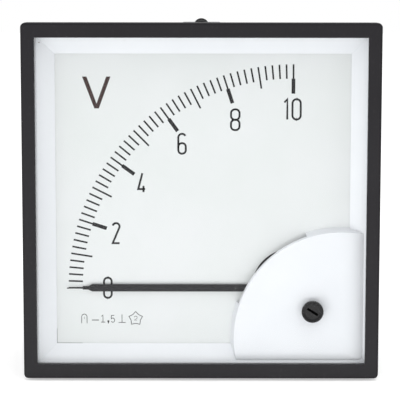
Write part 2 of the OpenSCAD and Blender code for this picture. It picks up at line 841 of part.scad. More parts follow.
module hair_spring(y0, a) {
    n = 24 * spring_turns;
    along_y(y0, y0 + spring_w) polygon(concat(
        [for (k = [0 : n]) spiral_point(k, n, spring_inner_r, spring_r, a, 1)],
        [for (k = [n : -1 : 0]) spiral_point(k, n, spring_inner_r, spring_r, a, -1)]));
    // end tabs, pinned to the collet and soldered to the lug
    to_angle(a) {
        block(collet_r, spring_inner_r, y0, y0 + spring_w, -spring_t / 2, spring_t / 2);
        block(spring_r, lug_in, y0, y0 + spring_w, -spring_t, spring_t);
    }
}

module front_spring() {
    color([0.8, 0.68, 0.4])
    at_pivot() hair_spring(y_collet + 0.1, spring_lug_angle);
}

// ---------- movement, moving part ----------

module pointer() {
    edge = pointer_w / 2;
    r_neck = bar_end + bevel_l;
    r_tip = r_neck + neck_l;
    color([0.2, 0.195, 0.21])
    at_pivot() {
        // bar folded like a roof, its ridge towards the glass
        intersection() {
            along_x(-pointer_l, -crank_r) polygon([
                [y_ridge + pointer_rise, -edge], [y_ridge, 0], [y_ridge + pointer_rise, edge],
                [y_ridge + pointer_rise + pointer_t, edge], [y_ridge + pointer_t, 0],
                [y_ridge + pointer_rise + pointer_t, -edge]]);
            along_y(y_ridge - over, y_dial) polygon([
                [-crank_r, -edge], [-bar_end, -edge], [-r_neck, -neck_w / 2], [-r_tip, -tip_w / 2],
                [-pointer_l, -tip_w / 2], [-pointer_l, tip_w / 2], [-r_tip, tip_w / 2],
                [-r_neck, neck_w / 2], [-bar_end, edge], [-crank_r, edge]]);
        }
        // crank that drops through the dial's cut-out
        block(-crank_r - pointer_t, -crank_r, y_ridge + pointer_rise, y_cross, -edge, edge);
        difference() {
            union() {
                block(-crank_r - pointer_t, 0, y_eye, y_cross, -edge, edge);
                disc(edge + 0.7, y_eye, y_cross);
            }
            disc(staff_r + 0.45, y_eye - over, y_cross + over);
        }
    }
}

module balance_cross() {
    color([0.72, 0.72, 0.7])
    at_pivot() difference() {
        union() {
            disc(bush_r + 0.2, y_cross, y_cross + cross_t);
            disc(staff_r + 0.43, y_eye, y_cross);
            block(0, tail_l, y_cross, y_cross + cross_t, -arm_w / 2, arm_w / 2);
            block(-arm_w / 2, arm_w / 2, y_cross, y_cross + cross_t, -side_l, side_l);
        }
        disc(staff_r + 0.01, y_eye - over, y_cross + cross_t + over);
    }
}

// A weight slid onto an arm of the cross, from radius r0 out to r1
module balance_weight(r0, r1) {
    y_mid = y_cross + cross_t / 2;
    difference() {
        translate([r0, y_mid, 0]) rotate([0, 90, 0]) cylinder(r = weight_r, h = r1 - r0);
        block(r0 - over, r1 + over, y_cross, y_cross + cross_t, -arm_w / 2, arm_w / 2);
    }
}

module balance_weights() {
    color([0.7, 0.58, 0.33])
    at_pivot() {
        balance_weight(tail_l - 0.9 - tail_weight_l, tail_l - 0.9);
        for (a = [-90, 90]) to_angle(a)
            balance_weight(side_l - 0.4 - side_weight_l, side_l - 0.4);
    }
}

// Steel pivot with its bush, from the coil at y_foot to the point at y_point
module staff(y_foot, y_bush, y_collet_near, y_point) {
    way = y_point > y_foot ? 1 : -1;
    y_cone = y_point - way * 0.9;
    disc(bush_r, min(y_foot, y_bush), max(y_foot, y_bush));
    disc(staff_r, min(y_bush, y_cone), max(y_bush, y_cone));
    if (way > 0) taper(staff_r, 0.06, y_cone, y_point);
    else taper(0.06, staff_r, y_point, y_cone);
    disc(collet_r, y_collet_near, y_collet_near + collet_l);
}

module front_staff() {
    color([0.7, 0.7, 0.72])
    at_pivot() staff(y_coil, y_cross + cross_t, y_collet, y_tip);
}

module rear_staff() {
    color([0.7, 0.7, 0.72])
    at_pivot() staff(y_coil_end, y_rear_bush_end, y_rear_collet, y_rear_tip);
}

// A closed rectangular frame in the plane of the coil, its inside r wide each way
module coil_frame(r, y0, y1, wall, w) {
    difference() {
        block(-r - wall, r + wall, y0 - wall, y1 + wall, -w / 2, w / 2);
        block(-r, r, y0, y1, -w, w);
    }
}

module coil_former() {
    color([0.8, 0.8, 0.8])
    at_pivot() coil_frame(former_r, y_core - coil_end_gap, y_core_end + coil_end_gap,
                          former_t, former_w);
}

module coil_winding() {
    color([0.72, 0.4, 0.2])
    at_pivot() coil_frame(former_r + former_t, y_core - coil_end_gap - former_t,
                          y_core_end + coil_end_gap + former_t, winding_t, winding_w);
}

// ---------- movement, magnet system ----------

module core_magnet() {
    color([0.45, 0.45, 0.47])
    at_pivot() {
        taper(core_r - 0.4, core_r, y_core, y_core + 0.4);
        disc(core_r, y_core + 0.4, y_core_end - 0.4);
        taper(core_r, core_r - 0.4, y_core_end - 0.4, y_core_end);
    }
}

module core_holders() {
    color([0.55, 0.55, 0.56])
    at_pivot() for (a = [45, 225]) intersection() {
        difference() {
            disc(yoke_bore_r, y_core + 0.5, y_core_end - 0.5);
            disc(core_r, y_core, y_core_end);
        }
        sector(yoke_r + 2, 12, a, y_core, y_core_end);
    }
}

module yoke_ring() {
    color([0.62, 0.62, 0.64])
    at_pivot() difference() {
        disc(yoke_r, y_core, y_core_end);
        disc(yoke_bore_r, y_core - over, y_core_end + over);
        for (a = [45, 225]) translate([bridge_at * cos(a), 0, bridge_at * sin(a)])
            disc(bridge_screw_r, y_core_end - bridge_screw_l, y_core_end + over);
    }
}

// ---------- movement, rear bearing ----------

module rear_ends() {
    for (a = [45, 225]) translate([bridge_at * cos(a), 0, bridge_at * sin(a)]) children();
}

module rear_bridge() {
    w = jewel_screw_r + 2.2;
    color([0.78, 0.78, 0.76])
    at_pivot() difference() {
        union() {
            to_angle(45) block(-bridge_at, bridge_at, y_rear_bridge, y_rear_bridge_end, -w, w);
            rear_ends() disc(w, y_rear_bridge, y_rear_bridge_end);
        }
        disc(jewel_screw_r + 0.01, y_rear_bridge - over, y_rear_bridge_end + over);
        rear_ends() disc(bridge_screw_r + slip, y_rear_bridge - over, y_rear_bridge_end + over);
    }
}

module rear_bridge_pillars() {
    color([0.76, 0.62, 0.34])
    at_pivot() rear_ends() difference() {
        disc(pillar_r, y_core_end, y_rear_bridge);
        disc(bridge_screw_r + run, y_core_end - over, y_rear_bridge + over);
    }
}

module rear_bridge_screws() {
    head_t = 1.2;
    color([0.75, 0.75, 0.73])
    at_pivot() rear_ends() difference() {
        union() {
            disc(bridge_head_r, y_rear_bridge_end, y_rear_bridge_end + head_t);
            disc(bridge_screw_r - 0.02, y_core_end - 0.8 * bridge_screw_l, y_rear_bridge_end);
        }
        block(-bridge_head_r - over, bridge_head_r + over, y_rear_bridge_end + head_t / 2,
              y_rear_bridge_end + head_t + over, -0.2, 0.2);
    }
}

module rear_jewel_screw() {
    color([0.78, 0.64, 0.35])
    at_pivot() jewel_screw(y_rear_screw_end, y_rear_jewel);
}

module rear_lock_nut() {
    color([0.78, 0.64, 0.35])
    at_pivot() lock_nut(y_rear_bridge_end);
}

module rear_spring() {
    color([0.8, 0.68, 0.4])
    at_pivot() hair_spring(y_rear_collet + 0.1, spring_lug_angle);
}

// Stud in the rear bridge that holds the rear spring's outer end
module rear_spring_stud() {
    color([0.78, 0.64, 0.35])
    at_pivot() to_angle(spring_lug_angle)
        block(lug_in, lug_in + 0.8, y_rear_collet, y_rear_bridge, -0.6, 0.6);
}

// ---------- carrier ----------

module carrier_bosses(r, y0, y1) {
    for (x = [-1, 1], z = [-1, 1]) disc(r, y0, y1, x * post_at, z * post_at);
}

module movement_carrier() {
    notch = channel_w + 2 * channel_wall + 1;
    color([0.2, 0.2, 0.21])
    difference() {
        union() {
            rounded_slab(carrier_size, 1.5, y_carrier, y_shoulder);
            carrier_bosses(post_r, y_shoulder - 0.5, boss_end);
            at_pivot() disc(sleeve_r, y_shoulder - 0.5, y_core_end);
            for (p = dial_screw_at)
                disc(dial_screw_r + 1.2, y_shoulder - 0.5, y_dial + dial_screw_l + 1, p[0], p[1]);
            // stops for the tail of the balance cross
            at_pivot() for (a = stop_angles) to_angle(a)
                block(tail_l - 0.5, sleeve_r - 1, y_cross - 0.2, y_cross + cross_t + 0.2, -0.5, 0.5);
        }
        at_pivot() {
            difference() {
                disc(shoulder_r, y_carrier - over, y_core + 0.01);
                for (a = stop_angles) to_angle(a)
                    block(tail_l - 0.5, sleeve_r, y_cross - 0.2, y_cross + cross_t + 0.2, -0.5, 0.5);
            }
            disc(yoke_r + run, y_core, y_core_end + over);
            // open side, where the lead passes the yoke
            sector(sleeve_r + 0.3, lead_gap_angle, bridge_angle, y_shoulder + sleeve_foot, y_core_end + over);
        }
        carrier_bosses(carrier_screw_r + 0.15, y_carrier - over, boss_end + over);
        carrier_bosses(post_r - 0.6, y_carrier - over, y_shoulder + carrier_floor_t);
        top_and_bottom()
            block(-notch / 2, notch / 2, y_carrier - over, y_shoulder + over,
                  channel_in - 0.3, bezel_size);
        for (p = dial_screw_at)
            disc(dial_screw_r + 0.02, y_carrier - over, y_dial + dial_screw_l + 0.5, p[0], p[1]);
        disc(wire_r + 0.3, y_carrier - over, y_shoulder + over, lead_x, lead_z);
    }
}

module carrier_screws() {
    head_r = post_r - 0.75;
    color([0.7, 0.7, 0.7])
    for (x = [-1, 1], z = [-1, 1]) translate([x * post_at, 0, z * post_at])
        cheese_screw(head_r, carrier_screw_r, y_shoulder + carrier_floor_t - carrier_head_t,
                     carrier_head_t, carrier_screw_l, 0.6);
}

// ---------- electrics ----------

module resistor_board() {
    color([0.16, 0.33, 0.2])
    difference() {
        block(-board_w / 2, board_w / 2, y_board, y_stud_flange,
              stud_z - board_h / 2, stud_z + board_h / 2);
        for (x = [-1, 1]) disc(stud_r + slip, y_board - over, y_stud_flange + over,
                               x * stud_at_x, stud_z);
    }
}

module series_resistor() {
    y_axis = y_board - resistor_cap_r - 0.3;
    color([0.35, 0.55, 0.75])
    translate([0, y_axis, stud_z]) {
        for (s = [0, 180]) rotate([0, s, 0]) {
            rotate([0, 90, 0]) cylinder(r = resistor_r, h = resistor_l / 2);
            translate([resistor_l / 2 - resistor_cap_l, 0, 0]) rotate([0, 90, 0])
                cylinder(r = resistor_cap_r, h = resistor_cap_l);
            rotate([0, 90, 0])
                cylinder(r = resistor_wire_r, h = resistor_wire_at + resistor_wire_r);
            translate([resistor_wire_at, 0, 0]) rotate([-90, 0, 0])
                cylinder(r = resistor_wire_r, h = y_board - y_axis);
        }
    }
}

module board_nuts() {
    color([0.78, 0.64, 0.35])
    for (x = [-1, 1]) hex_nut(x * stud_at_x, stud_z, y_board - nut_t);
}

// Nut for a stud, with the chamfers that hexagonal nuts have at both ends
module hex_nut(x, z, y0) {
    corner_r = nut_af / sqrt(3);
    face_r = 0.475 * nut_af;
    chamfer = (corner_r - face_r) * tan(30);
    difference() {
        translate([x, y0 + nut_t, z]) rotate([90, 0, 0]) intersection() {
            cylinder(r = corner_r, h = nut_t, $fn = 6);
            rotate_extrude() polygon([[0, 0], [face_r, 0], [corner_r + 0.01, chamfer],
                [corner_r + 0.01, nut_t - chamfer], [face_r, nut_t], [0, nut_t]]);
        }
        disc(stud_root_r + run, y0 - over, y0 + nut_t + over, x, z);
    }
}

// A round wire along a route of points
module wire(route, r) {
    n = len(route);
    ring = [for (i = [0 : n - 1])
        let (a = route[max(i - 1, 0)], b = route[min(i + 1, n - 1)], t = (b - a) / norm(b - a),
             c = cross(t, [0.35, 0.2, 0.9]), u = c / norm(c), v = cross(t, u))
        for (k = [0 : wire_sides - 1])
            route[i] + r * (cos(360 * k / wire_sides) * u + sin(360 * k / wire_sides) * v)];
    side = [for (i = [0 : n - 2], k = [0 : wire_sides - 1])
        let (j = (k + 1) % wire_sides)
        [i * wire_sides + k, i * wire_sides + j, (i + 1) * wire_sides + j, (i + 1) * wire_sides + k]];
    polyhedron(ring, concat(side,
        [[for (k = [wire_sides - 1 : -1 : 0]) k]],
        [[for (k = [0 : wire_sides - 1]) (n - 1) * wire_sides + k]]));
}

// Both leads start at the board; one runs to the front bridge, the other to the rear bridge
module lead_wires() {
    color([0.6, 0.12, 0.1]) {
        wire(front_lead, wire_r);
        wire(rear_lead, wire_r);
    }
}

// ---------- housing ----------

// Free-standing posts for the carrier's screws, tied to the walls by ribs
module carrier_posts() {
    rib_t = 1.2;
    carrier_bosses(post_r, boss_end, y_rear_wall + over);
    for (x = [-1, 1], z = [-1, 1]) mirror([x < 0 ? 1 : 0, 0, 0]) mirror([0, 0, z < 0 ? 1 : 0]) {
        block(post_at, case_size / 2 - 0.5, boss_end, y_rear_wall + over,
              post_at - rib_t / 2, post_at + rib_t / 2);
        block(post_at - rib_t / 2, post_at + rib_t / 2, boss_end, y_rear_wall + over,
              post_at, case_size / 2 - 0.5);
    }
}

module housing() {
    hook_w = clamp_w - 4;
    color([0.11, 0.11, 0.12])
    difference() {
        union() {
            soft_slab(case_size, case_corner_r, case_edge_r, case_depth, y_seat);
            square_slab(flange, y_seat, -slip);
            for (a = [0 : 90 : 270]) to_angle(a)
                block(flange / 2 - 1, flange / 2 + latch_t, y_seat + 0.2, -0.45,
                      -latch_w / 2, latch_w / 2);
            // insulating collars and the barrier between the terminals
            for (x = [-1, 1]) disc(washer_r + 1.6, case_depth - 0.5, case_depth + collar_t,
                                   x * stud_at_x, stud_z);
            block(-barrier_t / 2, barrier_t / 2, case_depth - 0.5, case_depth + barrier_l,
                  stud_z - barrier_h / 2, stud_z + barrier_h / 2);
        }
        difference() {
            rounded_slab(case_inner, case_corner_r - case_wall, y_seat - over, y_rear_wall);
            top_and_bottom()
                block(-channel_w / 2 - channel_wall, channel_w / 2 + channel_wall,
                      channel_y - channel_wall, case_depth, channel_in, bezel_size);
            carrier_posts();
        }
        mask_hollow(mask_t + 0.15, y_seat - over, y_dial);
        top_and_bottom() {
            block(-channel_w / 2, channel_w / 2, channel_y, case_depth + over,
                  channel_floor, bezel_size);
            block(-hook_w / 2 - slip, hook_w / 2 + slip, clamp_end - hook_reach - 0.2,
                  clamp_end + 0.2, channel_in - over, channel_floor + over);
        }
        carrier_bosses(carrier_screw_r + 0.02, boss_end - over, boss_end + carrier_screw_l - 1);
        for (x = [-1, 1]) {
            disc(stud_r + slip, y_rear_wall - over, case_depth + over, x * stud_at_x, stud_z);
            disc(washer_r + 0.4, case_depth, case_depth + collar_t + over, x * stud_at_x, stud_z);
        }
    }
}

// ---------- terminals ----------

module terminal_studs() {
    color([0.8, 0.66, 0.36])
    for (x = [-1, 1]) translate([x * stud_at_x, 0, stud_z]) difference() {
        union() {
            disc(stud_r, y_board - nut_t - 1.2, case_depth + stud_out - stud_lead);
            taper(stud_r, stud_r - stud_lead, case_depth + stud_out - stud_lead,
                  case_depth + stud_out);
            translate([0, y_rear_wall, 0]) rotate([90, 0, 0])
                cylinder(r = stud_flange_r, h = stud_flange_t, $fn = 6);
        }
        // inside a nut the thread is drawn at its root
        for (y = [y_board - nut_t, y_nut_a, y_nut_b]) difference() {
            disc(stud_r + over, y, y + nut_t);
            disc(stud_root_r, y - over, y + nut_t + over);
        }
    }
}

module terminal_nuts() {
    color([0.8, 0.66, 0.36])
    for (x = [-1, 1], y = [y_nut_a, y_nut_b]) hex_nut(x * stud_at_x, stud_z, y);
}

module ring_washer(r, t, x, z, y0) {
    difference() {
        disc(r, y0, y0 + t, x, z);
        disc(stud_r + slip, y0 - over, y0 + t + over, x, z);
    }
}

module terminal_washers() {
    color([0.82, 0.7, 0.42])
    for (x = [-1, 1], y = [case_depth, y_washer_b])
        ring_washer(washer_r, washer_t, x * stud_at_x, stud_z, y);
}

module spring_washers() {
    color([0.7, 0.71, 0.73])
    for (x = [-1, 1]) difference() {
        ring_washer(stud_r + 1.5, spring_washer_t, x * stud_at_x, stud_z, y_spring_washer);
        translate([x * stud_at_x, 0, stud_z])
            block(0, 2 * stud_r + 2, y_spring_washer - over, y_spring_washer + 2, -0.3, 0.3);
    }
}

// ---------- fixing clamps ----------

module clamp_brackets() {
    hook_w = clamp_w - 4;
    foot = channel_in - slip;
    color([0.72, 0.73, 0.76])
    top_and_bottom() difference() {
        union() {
            block(-clamp_w / 2, clamp_w / 2, lug_y, clamp_end, channel_floor,
                  channel_floor + clamp_t);
            block(-clamp_w / 2, clamp_w / 2, lug_y, lug_y + lug_t, channel_floor, lug_top);
            // hook through the slot in the channel's floor
            block(-hook_w / 2, hook_w / 2, clamp_end - hook_t, clamp_end, foot - clamp_t,
                  channel_floor + clamp_t);
            block(-hook_w / 2, hook_w / 2, clamp_end - hook_reach, clamp_end, foot - clamp_t, foot);
        }
        disc(clamp_screw_r + 0.03, lug_y - over, lug_y + lug_t + over, 0, clamp_axis);
        // nipped corners of the lug
        for (x = [-1, 1]) translate([x * clamp_w / 2, 0, lug_top]) rotate([0, 45, 0])
            block(-1, 1, lug_y - over, lug_y + lug_t + over, -1, 1);
    }
}

module clamp_pad() {
    difference() {
        union() {
            taper(pad_r - 0.4, pad_r, panel_room, panel_room + 0.4, 0, clamp_axis);
            disc(pad_r, panel_room + 0.4, panel_room + pad_l, 0, clamp_axis);
        }
        disc(clamp_screw_r + run, panel_room + 1.1, panel_room + pad_l + over, 0, clamp_axis);
    }
}

module clamp_screw() {
    head_r = clamp_screw_r + 0.8;
    head_t = 2.2;
    y_tip_end = panel_room + 1.2;
    y_head = y_tip_end + clamp_screw_l;
    difference() {
        union() {
            taper(clamp_screw_r - 0.4, clamp_screw_r, y_tip_end, y_tip_end + 0.4, 0, clamp_axis);
            disc(clamp_screw_r, y_tip_end + 0.4, y_head, 0, clamp_axis);
            disc(head_r, y_head, y_head + head_t - 0.3, 0, clamp_axis);
            taper(head_r, head_r - 0.3, y_head + head_t - 0.3, y_head + head_t, 0, clamp_axis);
        }
        translate([0, 0, clamp_axis])
            block(-head_r - over, head_r + over, y_head + head_t - 1, y_head + head_t + over,
                  -0.4, 0.4);
    }
}

module clamp_pad_top() {
    color([0.1, 0.1, 0.1]) clamp_pad();
}

module clamp_pad_bottom() {
    color([0.1, 0.1, 0.1]) mirror([0, 0, 1]) clamp_pad();
}

module clamp_screw_top() {
    color([0.7, 0.71, 0.74]) clamp_screw();
}

module clamp_screw_bottom() {
    color([0.7, 0.71, 0.74]) mirror([0, 0, 1]) clamp_screw();
}

bezel();
front_glass();
scale_mask();
quadrant_cover();
dial_plate();
scale_marks();
dial_screws();
zero_screw();
zero_screw_clip();
zero_lever();
front_bridge();
front_bridge_pillars();
front_bridge_screws();
front_jewel_screw();
front_lock_nut();
jewels();
front_spring();
pointer();
balance_cross();
balance_weights();
front_staff();
rear_staff();
coil_former();
coil_winding();
core_magnet();
core_holders();
yoke_ring();
rear_spring();
rear_spring_stud();
rear_bridge();
rear_bridge_pillars();
rear_bridge_screws();
rear_jewel_screw();
rear_lock_nut();
movement_carrier();
carrier_screws();
resistor_board();
series_resistor();
board_nuts();
lead_wires();
housing();
terminal_studs();
terminal_nuts();
terminal_washers();
spring_washers();
clamp_brackets();
clamp_pad_top();
clamp_pad_bottom();
clamp_screw_top();
clamp_screw_bottom();
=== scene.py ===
"""Looks of the analog panel meter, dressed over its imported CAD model.

Blender gets metres. Sizes and places that are multiplied by MM are written in millimetres."""
import math

import bmesh
import bpy
from mathutils import Matrix, Vector


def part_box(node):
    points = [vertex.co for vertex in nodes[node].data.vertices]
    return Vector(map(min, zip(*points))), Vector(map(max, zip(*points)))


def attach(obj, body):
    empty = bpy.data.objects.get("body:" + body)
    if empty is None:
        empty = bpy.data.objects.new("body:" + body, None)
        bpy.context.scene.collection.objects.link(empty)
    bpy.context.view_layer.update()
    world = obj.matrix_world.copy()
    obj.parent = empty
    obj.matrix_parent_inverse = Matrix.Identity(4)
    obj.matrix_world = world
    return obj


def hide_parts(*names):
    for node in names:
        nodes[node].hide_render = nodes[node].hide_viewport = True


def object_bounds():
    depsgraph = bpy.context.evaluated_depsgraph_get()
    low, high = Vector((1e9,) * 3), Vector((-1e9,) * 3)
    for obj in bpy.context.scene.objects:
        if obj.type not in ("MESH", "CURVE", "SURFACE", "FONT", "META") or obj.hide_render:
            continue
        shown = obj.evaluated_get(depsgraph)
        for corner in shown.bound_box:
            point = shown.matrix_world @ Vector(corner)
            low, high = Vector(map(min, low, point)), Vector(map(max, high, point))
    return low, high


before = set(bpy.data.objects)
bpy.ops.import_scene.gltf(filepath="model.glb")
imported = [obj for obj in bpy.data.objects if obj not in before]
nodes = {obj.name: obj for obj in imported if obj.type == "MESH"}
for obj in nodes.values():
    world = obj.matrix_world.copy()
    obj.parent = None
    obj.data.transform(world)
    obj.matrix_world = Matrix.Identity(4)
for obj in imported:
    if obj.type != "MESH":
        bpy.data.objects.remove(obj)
cad_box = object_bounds()
scene = bpy.context.scene
MM = 0.001


# ---------- levels taken from the CAD model ----------

Y_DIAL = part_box("dial_plate")[0][1]          # face of the dial
Y_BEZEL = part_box("bezel")[0][1]              # front of the bezel
Y_REAR = 0.053                               # rear face of the housing
FLOOR_Z = cad_box[0][2]


# ---------- node trees ----------

def new_material(name):
    mat = bpy.data.materials.new(name)
    mat.use_nodes = True
    tree = mat.node_tree
    tree.nodes.clear()
    return mat, tree


def node(tree, kind, **values):
    """Adds a node. A word that names an input sets that input, any other sets a property."""
    n = tree.nodes.new(kind)
    for key, value in values.items():
        label = key.replace("_", " ")
        if label in n.inputs:
            n.inputs[label].default_value = value
        else:
            setattr(n, key, value)
    return n


def link(tree, a, b):
    tree.links.new(a, b)


def noise(tree, size, detail=3.0, rough=0.55, stretch=None):
    """Noise whose features are about `size` metres; stretch draws it out along the axes."""
    coord = node(tree, "ShaderNodeTexCoord")
    out = coord.outputs["Object"]
    if stretch:
        place = node(tree, "ShaderNodeMapping")
        place.inputs["Scale"].default_value = stretch
        link(tree, out, place.inputs["Vector"])
        out = place.outputs["Vector"]
    tex = node(tree, "ShaderNodeTexNoise", Scale=1.0 / size, Detail=detail, Roughness=rough)
    link(tree, out, tex.inputs["Vector"])
    return tex.outputs["Fac"]


def ramp(tree, value, low, high, out_low, out_high):
    """Maps a value from one range to another and holds it there."""
    n = node(tree, "ShaderNodeMapRange", From_Min=low, From_Max=high, To_Min=out_low, To_Max=out_high)
    n.clamp = True
    link(tree, value, n.inputs["Value"])
    return n.outputs["Result"]


def blend_colour(tree, fac, a, b):
    """Mixes two colours, each a socket or plain numbers, by the socket fac."""
    n = node(tree, "ShaderNodeMix", data_type="RGBA")
    colours = [s for s in n.inputs if s.type == "RGBA"]
    for socket, c in zip(colours, (a, b)):
        if isinstance(c, bpy.types.NodeSocket):
            link(tree, c, socket)
        else:
            socket.default_value = (*c, 1.0)
    factor = next(s for s in n.inputs if s.type == "VALUE" and s.enabled)
    link(tree, fac, factor)
    return next(s for s in n.outputs if s.type == "RGBA")


def bump(tree, height, depth):
    n = node(tree, "ShaderNodeBump", Strength=1.0, Distance=depth)
    link(tree, height, n.inputs["Height"])
    return n.outputs["Normal"]


def specks(tree, spacing, size, keep):
    """Small round spots: 1 in a spot, 0 elsewhere; keep is the share of cells that have one."""
    coord = node(tree, "ShaderNodeTexCoord")
    cell = node(tree, "ShaderNodeTexVoronoi", Scale=1.0 / spacing)
    link(tree, coord.outputs["Object"], cell.inputs["Vector"])
    near = ramp(tree, cell.outputs["Distance"], size / spacing * 0.6, size / spacing, 1.0, 0.0)
    split = node(tree, "ShaderNodeSeparateColor")
    link(tree, cell.outputs["Color"], split.inputs["Color"])
    chosen = node(tree, "ShaderNodeMath", operation="LESS_THAN")
    link(tree, split.outputs[0], chosen.inputs[0])
    chosen.inputs[1].default_value = keep
    both = node(tree, "ShaderNodeMath", operation="MULTIPLY")
    link(tree, near, both.inputs[0])
    link(tree, chosen.outputs[0], both.inputs[1])
    return both.outputs[0]


DUST_COLOUR = (0.55, 0.54, 0.52)
DUST_SPACING, DUST_SIZE, DUST_FILM = 0.0042, 0.00011, 0.0011


def surface(name, dark, light, rough, patch=0.012, grain=0.0003, depth=0.000004, metal=0.0,
            level=0.5, coat=0.0, stretch=None, dust=0.0):
    """A solid material: colour drifts between dark and light over patches, roughness between the
    two values of rough, and a fine bump of the given grain and depth lies over it."""
    mat, tree = new_material(name)
    out = node(tree, "ShaderNodeOutputMaterial")
    bsdf = node(tree, "ShaderNodeBsdfPrincipled", Metallic=metal, IOR=1.5)
    bsdf.inputs["Specular IOR Level"].default_value = level
    bsdf.inputs["Coat Weight"].default_value = coat
    bsdf.inputs["Coat Roughness"].default_value = 0.12
    link(tree, bsdf.outputs[0], out.inputs["Surface"])
    drift = noise(tree, patch, 4.0, 0.6)
    fine = noise(tree, grain, 2.0, 0.6, stretch)
    colour = blend_colour(tree, ramp(tree, drift, 0.3, 0.7, 0.0, 1.0), dark, light)
    shine = ramp(tree, noise(tree, patch * 0.37, 5.0, 0.65, stretch), 0.3, 0.7, rough[0], rough[1])
    if dust:
        spots = specks(tree, DUST_SPACING, DUST_SIZE, dust)
        film = ramp(tree, noise(tree, DUST_FILM, 6.0, 0.75), 0.56, 0.74, 0.0, 0.10 * dust)
        colour = blend_colour(tree, film, colour, DUST_COLOUR)
        colour = blend_colour(tree, spots, colour, DUST_COLOUR)
    link(tree, colour, bsdf.inputs["Base Color"])
    link(tree, shine, bsdf.inputs["Roughness"])
    link(tree, bump(tree, fine, depth), bsdf.inputs["Normal"])
    return mat


def glass_material(name):
    """Thin clear sheet that lets light through straight, with the sheen of its faces."""
    mat, tree = new_material(name)
    out = node(tree, "ShaderNodeOutputMaterial")
    clear = node(tree, "ShaderNodeBsdfTransparent", Color=(0.985, 0.99, 0.99, 1.0))
    sheen = node(tree, "ShaderNodeBsdfGlossy", Roughness=0.3)
    facing = node(tree, "ShaderNodeLayerWeight", Blend=0.5)
    steep = node(tree, "ShaderNodeMath", operation="POWER")
    steep.inputs[1].default_value = 4.0
    link(tree, facing.outputs["Facing"], steep.inputs[0])
    share = ramp(tree, steep.outputs[0], 0.0, 1.0, 0.008, 0.5)
    mix = node(tree, "ShaderNodeMixShader")
    wave = bump(tree, noise(tree, 0.02, 1.0), 0.00002)
    link(tree, wave, sheen.inputs["Normal"])
    link(tree, share, mix.inputs[0])
    link(tree, clear.outputs[0], mix.inputs[1])
    link(tree, sheen.outputs[0], mix.inputs[2])
    link(tree, mix.outputs[0], out.inputs["Surface"])
    return mat


M = {
    "bezel": surface("bezel_plastic", (0.0062, 0.0052, 0.0074), (0.0086, 0.0076, 0.0100), (0.36, 0.44),
                     patch=0.02, grain=0.00022, depth=0.000005, level=0.22, dust=0.22),
    "case": surface("case_plastic", (0.012, 0.012, 0.0135), (0.02, 0.02, 0.022), (0.46, 0.54),
                    patch=0.012, grain=0.0004, depth=0.000014, level=0.4, dust=0.3),
    "carrier": surface("carrier_plastic", (0.02, 0.02, 0.022), (0.03, 0.03, 0.032), (0.45, 0.6)),
    "white": surface("white_plastic", (0.79, 0.80, 0.835), (0.83, 0.84, 0.87), (0.34, 0.48),
                     patch=0.025, grain=0.0005, depth=0.000003, level=0.4),
    "mask": surface("mask_plastic", (0.85, 0.86, 0.89), (0.89, 0.90, 0.93), (0.34, 0.48),
                    patch=0.025, grain=0.0005, depth=0.000003, level=0.4),
    "dial": surface("dial_paint", (0.755, 0.775, 0.768), (0.795, 0.803, 0.810), (0.62, 0.75),
                    patch=0.03, grain=0.00018, depth=0.0000025, level=0.25),
    "ink": surface("dial_ink", (0.010, 0.010, 0.012), (0.020, 0.019, 0.021), (0.55, 0.7),
                   patch=0.002, grain=0.00012, depth=0.000002, level=0.2),
    "adjuster": surface("adjuster_plastic", (0.005, 0.005, 0.006), (0.008, 0.008, 0.009), (0.22, 0.32),
                        patch=0.003, grain=0.0003, depth=0.000002, level=0.3),
    "pointer": surface("pointer_paint", (0.010, 0.0095, 0.012), (0.015, 0.0145, 0.017), (0.45, 0.55),
                       patch=0.008, grain=0.00012, depth=0.000001, level=0.2),
    "brass": surface("brass", (0.56, 0.39, 0.17), (0.70, 0.53, 0.28), (0.26, 0.42), metal=1.0,
                     patch=0.004, grain=0.00025, depth=0.000003),
    "steel": surface("bright_steel", (0.55, 0.55, 0.55), (0.70, 0.70, 0.69), (0.20, 0.34), metal=1.0,
                     patch=0.003, grain=0.0002, depth=0.000002),
    "zinc": surface("zinc_plated_steel", (0.52, 0.54, 0.57), (0.70, 0.71, 0.74), (0.26, 0.46),
                    metal=1.0, patch=0.006, grain=0.0004, depth=0.000005),
    "iron": surface("soft_iron", (0.28, 0.28, 0.285), (0.40, 0.40, 0.40), (0.34, 0.5), metal=1.0,
                    patch=0.004, grain=0.0003, depth=0.000004, stretch=(1.0, 8.0, 1.0)),
    "magnet": surface("magnet", (0.13, 0.13, 0.135), (0.20, 0.20, 0.205), (0.38, 0.55), metal=0.9,
                      patch=0.003, grain=0.0003, depth=0.000006),
    "alloy": surface("alloy", (0.60, 0.60, 0.61), (0.74, 0.74, 0.74), (0.28, 0.42), metal=1.0,
                     patch=0.005, grain=0.0002, depth=0.000003, stretch=(1.0, 1.0, 6.0)),
    "copper": surface("copper_wire", (0.42, 0.13, 0.045), (0.62, 0.24, 0.09), (0.22, 0.36), metal=0.85,
                      patch=0.002, grain=0.00012, depth=0.00001, stretch=(0.2, 0.2, 3.0), coat=0.4),
    "jewel": surface("jewel", (0.30, 0.01, 0.05), (0.42, 0.02, 0.08), (0.05, 0.10), patch=0.001,
                     coat=0.5),
    "board": surface("board", (0.012, 0.055, 0.022), (0.020, 0.085, 0.034), (0.25, 0.4),
                     patch=0.006, grain=0.0005, depth=0.000006, coat=0.3),
    "resistor": surface("resistor", (0.09, 0.24, 0.42), (0.13, 0.31, 0.52), (0.22, 0.34), patch=0.003,
                        coat=0.3),
    "wire": surface("wire_cover", (0.26, 0.012, 0.010), (0.36, 0.02, 0.016), (0.35, 0.5), patch=0.006),
    "rubber": surface("pad_rubber", (0.010, 0.010, 0.011), (0.018, 0.018, 0.019), (0.6, 0.8),
                      patch=0.004, grain=0.0002, depth=0.000008, dust=0.25),
}
